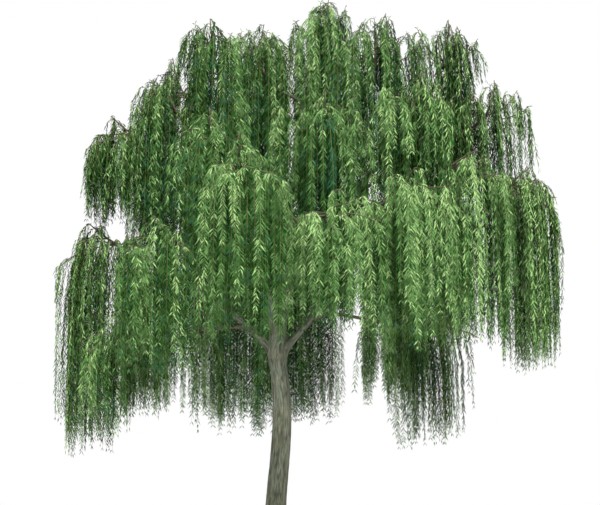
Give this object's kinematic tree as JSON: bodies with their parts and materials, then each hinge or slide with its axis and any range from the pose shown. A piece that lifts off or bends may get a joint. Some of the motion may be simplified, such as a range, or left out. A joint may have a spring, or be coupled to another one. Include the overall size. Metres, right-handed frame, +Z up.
{
  "type": "weeping willow tree",
  "caption": "Weeping willow with a short bowed trunk, limbs that fork from it, and masses of narrow leaves on long hanging twigs.",
  "frame": {"origin": "middle of the flat cut under the trunk, at ground level", "axes": "+Z up along the trunk, +X to the right and -Y towards the viewer, as in the usual front view"},
  "size_m": [8.0547, 7.2463, 8.6008],
  "materials": {
    "bark": "furrowed grey-brown bark",
    "young_bark": "smoother olive-brown bark",
    "foliage": "matt green leaves, paler underneath"
  },
  "bodies": {
    "root": {"trunk": "bark", "back_mid_limb": "bark", "crown_top_limb": "bark", "front_mid_limb": "bark", "left_low_limb": "bark", "right_mid_limb": "bark", "right_top_limb": "bark", "top_left_limb": "bark", "back_high_bough": "young_bark", "back_left_high_bough": "young_bark", "back_left_low_bough": "young_bark", "back_left_mid_bough": "young_bark", "back_mid_right_bough": "young_bark", "back_right_high_bough": "young_bark", "back_right_mid_bough": "young_bark", "front_high_bough": "young_bark", "front_left_high_bough": "young_bark", "front_left_low_bough": "young_bark", "front_left_mid_bough": "young_bark", "front_mid_left_bough": "young_bark", "front_mid_right_bough": "young_bark", "front_right_high_bough": "young_bark", "front_right_mid_bough": "young_bark", "left_high_bough": "young_bark", "left_mid_bough": "young_bark", "left_shoulder_bough": "young_bark", "right_high_bough": "young_bark", "right_low_bough": "young_bark", "top_front_bough": "young_bark", "top_mid_bough": "young_bark", "back_high_foliage": "foliage", "back_left_high_foliage": "foliage", "back_left_low_foliage": "foliage", "back_left_mid_foliage": "foliage", "back_mid_foliage": "foliage", "back_mid_right_foliage": "foliage", "back_right_high_foliage": "foliage", "back_right_mid_foliage": "foliage", "crown_top_foliage": "foliage", "front_high_foliage": "foliage", "front_left_high_foliage": "foliage", "front_left_low_foliage": "foliage", "front_left_mid_foliage": "foliage", "front_mid_foliage": "foliage", "front_mid_left_foliage": "foliage", "front_mid_right_foliage": "foliage", "front_right_high_foliage": "foliage", "front_right_mid_foliage": "foliage", "left_high_foliage": "foliage", "left_low_foliage": "foliage", "left_mid_foliage": "foliage", "left_shoulder_foliage": "foliage", "right_high_foliage": "foliage", "right_low_foliage": "foliage", "right_mid_foliage": "foliage", "right_top_foliage": "foliage", "top_front_foliage": "foliage", "top_left_foliage": "foliage", "top_mid_foliage": "foliage"}
  },
  "joints": []
}
